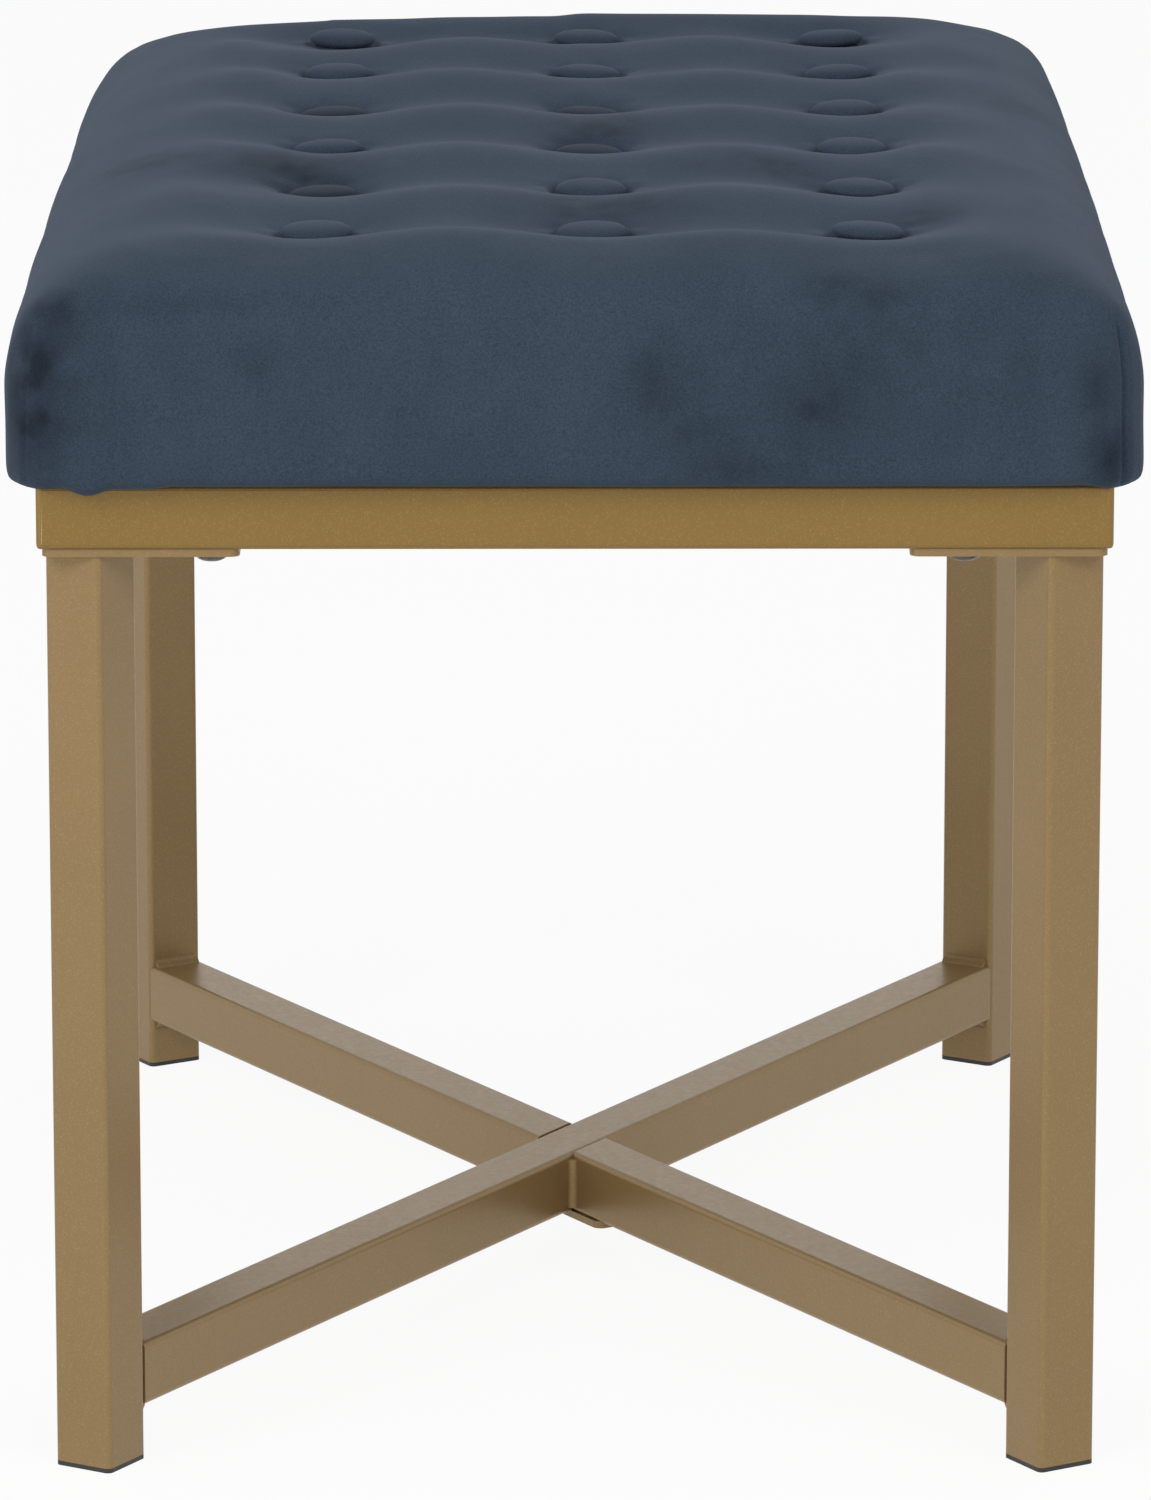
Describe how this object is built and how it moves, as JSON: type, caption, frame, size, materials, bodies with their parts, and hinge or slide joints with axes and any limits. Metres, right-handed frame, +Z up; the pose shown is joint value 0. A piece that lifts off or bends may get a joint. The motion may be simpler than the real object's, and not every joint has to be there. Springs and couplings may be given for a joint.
{
  "type": "ottoman bench",
  "caption": "Rectangular ottoman bench: button-tufted velvet cushion on a square steel tube frame with upright legs and crossed stretchers near the floor.",
  "frame": {"origin": "on the floor, under the middle of the bench", "axes": "+Z up, +Y along the length away from the short end in front, +X to the right seen from that end"},
  "size_m": [0.435, 0.6732, 0.4847],
  "materials": {
    "frame_paint": "satin gold-bronze paint with a fine sparkle",
    "bolt_steel": "black zinc plated, dull",
    "plywood": "raw",
    "foam": "open-cell polyurethane foam",
    "velvet": "short pile velvet, slate blue-grey",
    "twine": "twisted nylon",
    "black_plastic": "moulded, matt",
    "dust_cloth": "non-woven cloth"
  },
  "bodies": {
    "root": {"rail_front": "frame_paint", "rail_right": "frame_paint", "rail_back": "frame_paint", "rail_left": "frame_paint", "rail_corner_welds": "frame_paint", "stretcher_through": "frame_paint", "stretcher_half_front": "frame_paint", "stretcher_half_back": "frame_paint", "crossing_plate": "frame_paint", "crossing_welds": "frame_paint", "stretcher_welds": "frame_paint", "plate_welds": "frame_paint", "leg_bolts": "bolt_steel", "tee_nuts": "bolt_steel", "seat_board": "plywood", "foam_pad": "foam", "velvet_cover": "velvet", "buttons": "velvet", "button_backs": "bolt_steel", "tufting_twine": "twine", "twine_anchors": "black_plastic", "dust_cover": "dust_cloth", "corner_plate_front_left": "frame_paint", "corner_plate_front_right": "frame_paint", "corner_plate_back_right": "frame_paint", "corner_plate_back_left": "frame_paint", "leg_front_left": "frame_paint", "leg_front_right": "frame_paint", "leg_back_right": "frame_paint", "leg_back_left": "frame_paint", "foot_glide_front_left": "black_plastic", "foot_glide_front_right": "black_plastic", "foot_glide_back_right": "black_plastic", "foot_glide_back_left": "black_plastic"}
  },
  "joints": []
}
